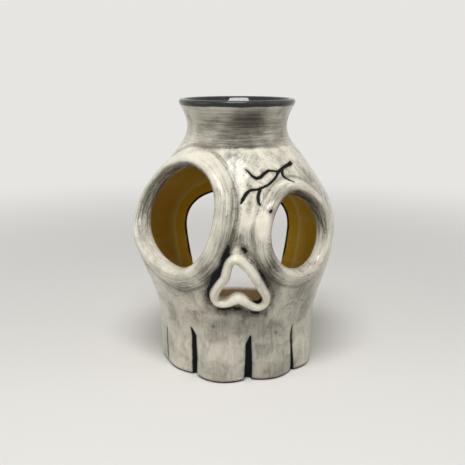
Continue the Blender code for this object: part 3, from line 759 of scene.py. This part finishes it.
class Nodes:
    """The nodes of one material, added by type, with settings first and then inputs."""

    def __init__(self, tree):
        self.tree = tree

    def add(self, kind, settings=None, inputs=None, output=0):
        node = self.tree.nodes.new(kind)
        for name, value in (settings or {}).items():
            setattr(node, name, value)
        for key, value in (inputs or {}).items():
            if isinstance(value, Value):
                self.tree.links.new(value.socket, node.inputs[key])
            else:
                node.inputs[key].default_value = value
        return Value(self, node.outputs[output])

    def kept(self, name, output="Fac"):
        return self.add("ShaderNodeAttribute", dict(attribute_name=name), output=output)

    def stretched(self, vector, by):
        return self.add("ShaderNodeVectorMath", dict(operation="MULTIPLY"), {0: vector, 1: by})

    def noise(self, vector, scale, detail=3.0, roughness=0.5, distortion=0.0):
        inputs = {"Vector": vector, "Scale": scale, "Detail": detail}
        inputs.update({"Roughness": roughness, "Distortion": distortion})
        return self.add("ShaderNodeTexNoise", None, inputs)

    def lines(self, vector, by, **grain):
        """Noise drawn out into lines along the parts of the vector that are scaled least."""
        return self.noise(self.stretched(vector, by), 1.0, **grain)

    def parts(self, vector):
        node = self.tree.nodes.new("ShaderNodeSeparateXYZ")
        self.tree.links.new(vector.socket, node.inputs[0])
        return [Value(self, socket) for socket in node.outputs]

    def mix(self, share, one, other):
        return self.add("ShaderNodeMix", dict(data_type="RGBA"), {0: share, 6: one, 7: other}, 2)

    def feed(self, shader, values):
        for name, value in values.items():
            self.tree.links.new(value.socket, shader.inputs[name])


class PotSurface:
    """What the pot's finishes share: the place, the distance from each opening, and the grain of the
    glaze and of the brush."""

    def __init__(self, n):
        self.n = n
        self.mm = n.stretched(n.add("ShaderNodeTexCoord", output="Object"), (1000, 1000, 1000))
        self.height = n.parts(self.mm)[2]
        self.inside = n.kept("inside")
        self.cloudy = n.noise(self.mm, 0.11, detail=4.0, roughness=0.6, distortion=0.6)
        self.fine = n.noise(self.mm, 0.55, roughness=0.6)
        self.grit = n.noise(self.mm, 1.3, roughness=0.7, distortion=0.4)
        self.level = n.lines(self.mm, (0.06, 0.06, 1.1), detail=5.0, roughness=0.62, distortion=0.5)
        self.level = self.level * 0.75 + self.cloudy * 0.25
        self.round, self.right, self.up, self.far = {}, {}, {}, {}
        for name in ("left_eye", "right_eye", "nose", "door"):
            self.round[name] = n.kept("round_" + name, "Vector")
            self.right[name], self.up[name], self.far[name] = n.parts(self.round[name])
        self.near = {name: 1 - self.far[name].rise(*reach) for name, reach in NEAR.items()}
        self.on_neck = self.height.rise(*LEVEL_STROKES)
        self.streaks, self.hairs = self.brushing()

    def brushing(self):
        """Broad streaks and thin hairs of the brush. They run down the face, round each opening near it,
        and level round the neck."""
        n = self.n
        streaks = n.lines(self.mm, (0.45, 0.45, 0.045), detail=5.0, roughness=0.6, distortion=0.4)
        streaks = streaks * 0.6 + self.cloudy * 0.4
        hairs = n.lines(self.mm, (1.1, 1.1, 0.08), detail=2.0, distortion=0.6)
        for name in ("nose", "left_eye", "right_eye"):
            place = self.round[name]
            round_streaks = n.lines(place, (2.0, 2.0, 0.9), detail=5.0, roughness=0.65, distortion=0.4)
            streaks = streaks.towards(round_streaks, self.near[name])
        for name in ("left_eye", "right_eye"):
            round_hairs = n.lines(self.round[name], (3.0, 3.0, 2.2), detail=2.0, distortion=0.6)
            hairs = hairs.towards(round_hairs, self.near[name])
        level_hairs = n.lines(self.mm, (0.07, 0.07, 2.6), detail=2.0, distortion=0.6)
        return streaks.towards(self.level, self.on_neck), hairs.towards(level_hairs, self.on_neck)

    def smudges(self):
        """Coats of wash before the brush parts them: the broad smudges, the clouds, the sockets' turned-in
        faces, where the coats are partly painted shade, darkest at the top, the foot of each socket's lip,
        and the hollow beside the nose's coil."""
        n, far, cloudy, inside = self.n, self.far, self.cloudy, self.inside
        above_crease = (self.height + (cloudy - 0.5) * 2.0).rise(CREASE_Z - 0.5, CREASE_Z + CREASE_HALF)
        coats = n.kept("wash") + n.kept("neck_wash") * above_crease + cloudy.rise(0.45, 0.8) * 0.3 + 0.1
        turned_in = inside.rise(0.12, 0.45) * (1 - inside.rise(0.9, 1.0))
        # Painted shade: extra coats on the upper part of each socket's turned-in face, which faces down.
        for name, (to_right, upward, all_over) in TURNED_IN_SHADE.items():
            shade = self.up[name] * upward + self.right[name] * to_right + all_over
            coats = coats + turned_in * self.near[name] * shade.most(0.05) * 1.3
            from_foot = abs((far[name] - LIP_FOOT[name]) / LIP_FOOT_HALF)
            coats = coats + (1 - from_foot.rise(0.0, 1.0)) * 0.6
        start, full, end = BESIDE_COIL
        beside_coil = far["nose"].rise(start, full) * (1 - far["nose"].rise(full, end))
        return (coats + beside_coil * (0.5 + cloudy.rise(0.4, 0.6) * 0.9)).most(0.0)

    def wash(self):
        """Coats of wash, parted into streaks and hairs by the brush, darker along winding tide lines where it
        dried, thinned along the strip under the crease to paint a highlight there, and wiped off the nose's
        coil."""
        near_socket = self.near["left_eye"].most(self.near["right_eye"])
        streaked = near_socket.most(self.height.rise(60, 75)) * 0.4 + 0.25
        streaked = streaked * (1 - self.on_neck * 0.35)
        coats = self.smudges() * (1 + streaked * (self.streaks.rise(0.34, 0.66) * 1.8 - 0.9))
        scratched = coats * 0.9 + 0.08 + self.height.rise(90, 120) * 0.2
        coats = coats + self.hairs.rise(0.575, 0.64) * scratched * streaked * 1.2

        winding = self.n.noise(self.mm, 0.07, detail=4.0, roughness=0.55, distortion=1.2)
        tide = (1 - abs(winding - 0.5).rise(0.003, 0.02)) * self.grit.rise(0.38, 0.55)
        tide = tide * (1 - self.on_neck) * (0.3 + self.height.rise(28, 46) * 0.5)
        coats = coats + tide * coats.rise(0.1, 0.6)
        # Painted highlight: less wash along the strip just under the crease.
        coats = coats * (1 - self.n.kept("crease") * 0.6)
        return coats * (0.3 + self.far["nose"].rise(*COIL_CLEAN) * 0.7)

    def ink(self):
        """The black of the carved lines, whose edges waver by tenths of a millimetre, and of the ragged
        strokes beside the nose's coil, and the grey margin of both."""
        carved_line, stroke = self.n.kept("ink"), self.n.kept("brushed")
        off_coil = self.far["nose"].rise(*COIL_FREE).most(self.inside.rise(0.3, 0.5))
        in_line = (carved_line + (self.fine - 0.5) * 0.5).rise(-0.16, 0.12)
        in_stroke = (stroke + (self.grit - 0.5) * 3.2).rise(-0.12, 0.15) * off_coil
        by_line = (carved_line + (self.cloudy - 0.5) * 1.5).rise(-1.6, 0.3) * 0.4
        by_stroke = (stroke + (self.grit - 0.5) * 5.0).rise(-2.8, 0.2) * 0.7 * off_coil
        return in_line.most(in_stroke), by_line.most(by_stroke)

    def amber(self):
        """The glaze inside: paler on the throwing rings, with a painted reflection as a pale line round the
        door and a paler band beyond it, and thin enough under the door for the cream to show."""
        n, cloudy, from_door = self.n, self.cloudy, self.far["door"]
        throwing_rings = n.lines(self.mm, (0.012, 0.012, 0.22), detail=2.0).rise(0.4, 0.7)
        from_glint = abs(from_door - GLINT_FROM_DOOR + (cloudy - 0.5) * GLINT_WANDER)
        # Painted reflection: a pale line round the door on the inner wall, and a paler band beyond it.
        painted_glint = 1 - from_glint.rise(0.1, GLINT_HALF)
        beyond_glint = from_door.rise(10.5, 12.5) * (1 - from_door.rise(12.5, 24.0))
        paler = throwing_rings * 0.25 + painted_glint * 0.75 + beyond_glint * 0.4
        under_door = (1 - (self.up["door"] + 0.8).rise(0.0, 0.25)) * (1 - from_door.rise(9.0, 15.0))
        amber = n.mix(paler.held(), AMBER, AMBER_PALE_AND_GLINT)
        return n.mix(under_door * (0.35 + cloudy * 0.3), amber, CREAM_SHADE)

    def door_edge(self):
        """The black line round the door's inner edge, which fades out at the sill."""
        width = (self.up["door"] + 0.6).rise(0.0, 0.5) * 3.0 - 1.4 + (self.cloudy - 0.5) * 2.0
        return (1 - (self.far["door"] - width).rise(0.6, 1.2)) * self.inside.rise(0.3, 0.6)

    def black_glaze(self):
        """The black glaze over the lip of the rim and down inside the neck."""
        dipped = self.height + (self.level - 0.5) * RIM_WANDER - (HEIGHT - RIM_BAND)
        poured = (self.height + (self.cloudy - 0.5) * THROAT_WANDER).rise(*THROAT)
        return dipped.rise(-0.2, 0.2).most(self.inside.rise(0.5, 0.6) * poured)

    def relief(self, black):
        """The brush marks and the glaze's own ripples, which are stronger on the brow and on the rim."""
        rippled = (self.fine - 0.5) * (0.3 + self.height.rise(98, 118) * 0.5)
        rippled = rippled + black * ((self.level - 0.5) * 1.0 + (self.fine - 0.5) * 0.5)
        return (self.streaks - 0.5) * 0.6 + (self.hairs - 0.5) * 0.25 + rippled + (self.cloudy - 0.5) * 1.2


def glazed_pot():
    """The one material of the pot: cream glaze under the wash and the ink, black glaze on the rim and down
    the neck, amber glaze inside."""
    material = bpy.data.materials.new("cream_glaze_washed_black")
    material.use_nodes = True
    n = Nodes(material.node_tree)
    shader = material.node_tree.nodes["Principled BSDF"]
    surface = PotSurface(n)
    ink, margin = surface.ink()
    black = surface.black_glaze()
    bare = SHOWS_THROUGH ** surface.wash()

    colour = n.mix(surface.cloudy.rise(0.35, 0.65), CREAM, CREAM_SHADE)
    colour = n.mix((1 - bare * (1 - margin)).held(), colour, WASH)
    colour = n.mix(ink, colour, BLACK)
    colour = n.mix(surface.inside.rise(0.88, 0.98), colour, surface.amber())
    colour = n.mix(surface.door_edge(), colour, BLACK)
    colour = n.mix(black, colour, BLACK)

    # The amber is dull, and so is the ink. The black glaze is the glossiest.
    dull = surface.inside.rise(0.85, 1.0) * (1 - black)
    rough = 0.11 + surface.fine * 0.07 + ink * 0.45 + dull * 0.6 - black * 0.04
    coat = 0.25 * (1 - dull.most(ink)) + black * 0.35
    shader.inputs["Specular IOR Level"].default_value = SPECULAR
    shader.inputs["Coat Roughness"].default_value = COAT_ROUGHNESS
    relief = {"Strength": 0.6, "Distance": BRUSH_DEPTH / 1000, "Height": surface.relief(black)}
    bump = n.add("ShaderNodeBump", None, relief)
    n.feed(shader, {"Base Color": colour, "Roughness": rough, "Coat Weight": coat, "Normal": bump})
    return material


mesh.materials.append(glazed_pot())

# The table: a plain pale sheet that keeps the pot's shadow and turns into the pale room with distance.
FLOOR_HALF = 3000.0
ROOM_COLOUR = (0.80, 0.785, 0.76, 1)
FADE_FROM, FADE_TO = 160.0, 700.0
TABLE_COLOUR, TABLE_ROUGHNESS, TABLE_SPECULAR = (0.78, 0.765, 0.74, 1), 0.8, 0.1


def seen_directly(n):
    """1 for what the camera sees, also in a mirror or through glass, and 0 for the light that falls."""
    names = ("Is Camera Ray", "Is Glossy Ray", "Is Transmission Ray")
    camera_ray, glossy_ray, transmission_ray = (n.add("ShaderNodeLightPath", output=name) for name in names)
    return camera_ray.most(glossy_ray).most(transmission_ray)


def table_material():
    """A plain matt sheet near the pot, and the room's own colour as a glow away from it."""
    material = bpy.data.materials.new("pale_table")
    material.use_nodes = True
    n = Nodes(material.node_tree)
    shader = material.node_tree.nodes["Principled BSDF"]
    shader.inputs["Base Color"].default_value = TABLE_COLOUR
    shader.inputs["Roughness"].default_value = TABLE_ROUGHNESS
    shader.inputs["Specular IOR Level"].default_value = TABLE_SPECULAR
    glow = n.add("ShaderNodeEmission", None, {"Color": ROOM_COLOUR, "Strength": 1.0})
    metres = n.add("ShaderNodeTexCoord", output="Object")
    far = n.add("ShaderNodeVectorMath", dict(operation="LENGTH"), {0: metres}, "Value")
    faded = (far * 1000).rise(FADE_FROM, FADE_TO) * seen_directly(n)
    mixed = n.add("ShaderNodeMixShader", None, {0: faded, 1: Value(n, shader.outputs[0]), 2: glow})
    material.node_tree.links.new(mixed.socket, material.node_tree.nodes["Material Output"].inputs["Surface"])
    return material


table = bpy.data.meshes.new("table")
corners = np.array([(-1, -1, 0), (1, -1, 0), (1, 1, 0), (-1, 1, 0)]) * FLOOR_HALF
table.from_pydata((corners / 1000).tolist(), [], [(0, 1, 2, 3)])
table.materials.append(table_material())
table_top = bpy.data.objects.new("table", table)
bpy.context.scene.collection.objects.link(table_top)

# The light: a long lamp above and in front, which draws the glaze's glints, two faint wide ones at the
# sides, and an even white room.
LAMPS = [
    ("over_front", (-40, -400, 840), (520, 200), 5.7),
    ("left_side", (-800, -300, 320), (600, 600), 1.2),
    ("right_side", (800, -200, 420), (600, 600), 1.0),
]
LAMPS_AIM_AT = (0, 0, 75)
ROOM_LIGHT = 0.36
for name, at, size, watts in LAMPS:
    lamp = bpy.data.lights.new(name, "AREA")
    lamp.shape, lamp.energy = "ELLIPSE", watts
    lamp.size, lamp.size_y = size[0] / 1000, size[1] / 1000
    lamp_object = bpy.data.objects.new(name, lamp)
    lamp_object.location = [v / 1000 for v in at]
    x, y, up = np.array(LAMPS_AIM_AT, float) - np.array(at)
    lamp_object.rotation_euler = (np.arctan2(np.hypot(x, y), -up), 0, np.arctan2(y, x) - np.pi / 2)
    bpy.context.scene.collection.objects.link(lamp_object)

world = bpy.data.worlds.new("room")
world.use_nodes = True
bpy.context.scene.world = world
room = Nodes(world.node_tree)
background = world.node_tree.nodes["Background"]
background.inputs["Color"].default_value = ROOM_COLOUR
strength = ROOM_LIGHT + seen_directly(room) * (1 - ROOM_LIGHT)
world.node_tree.links.new(strength.socket, background.inputs["Strength"])

# The camera: at the photograph's distance and height in front of the face, tilted down at the pot and
# held level.
PHOTO_PIXELS, FOCAL_PIXELS, SENSOR = 465, 680, 36.0
CAMERA_AT, CAMERA_TILT = (-2.65, -401.0, 172.3), 13.64
camera = bpy.data.cameras.new("camera")
camera.sensor_width = SENSOR
camera.lens = SENSOR * FOCAL_PIXELS / PHOTO_PIXELS
camera_object = bpy.data.objects.new("camera", camera)
camera_object.location = [v / 1000 for v in CAMERA_AT]
camera_object.rotation_euler = (np.radians(90 - CAMERA_TILT), 0, 0)
bpy.context.scene.collection.objects.link(camera_object)
bpy.context.scene.camera = camera_object
bpy.context.scene.view_settings.view_transform = "Standard"
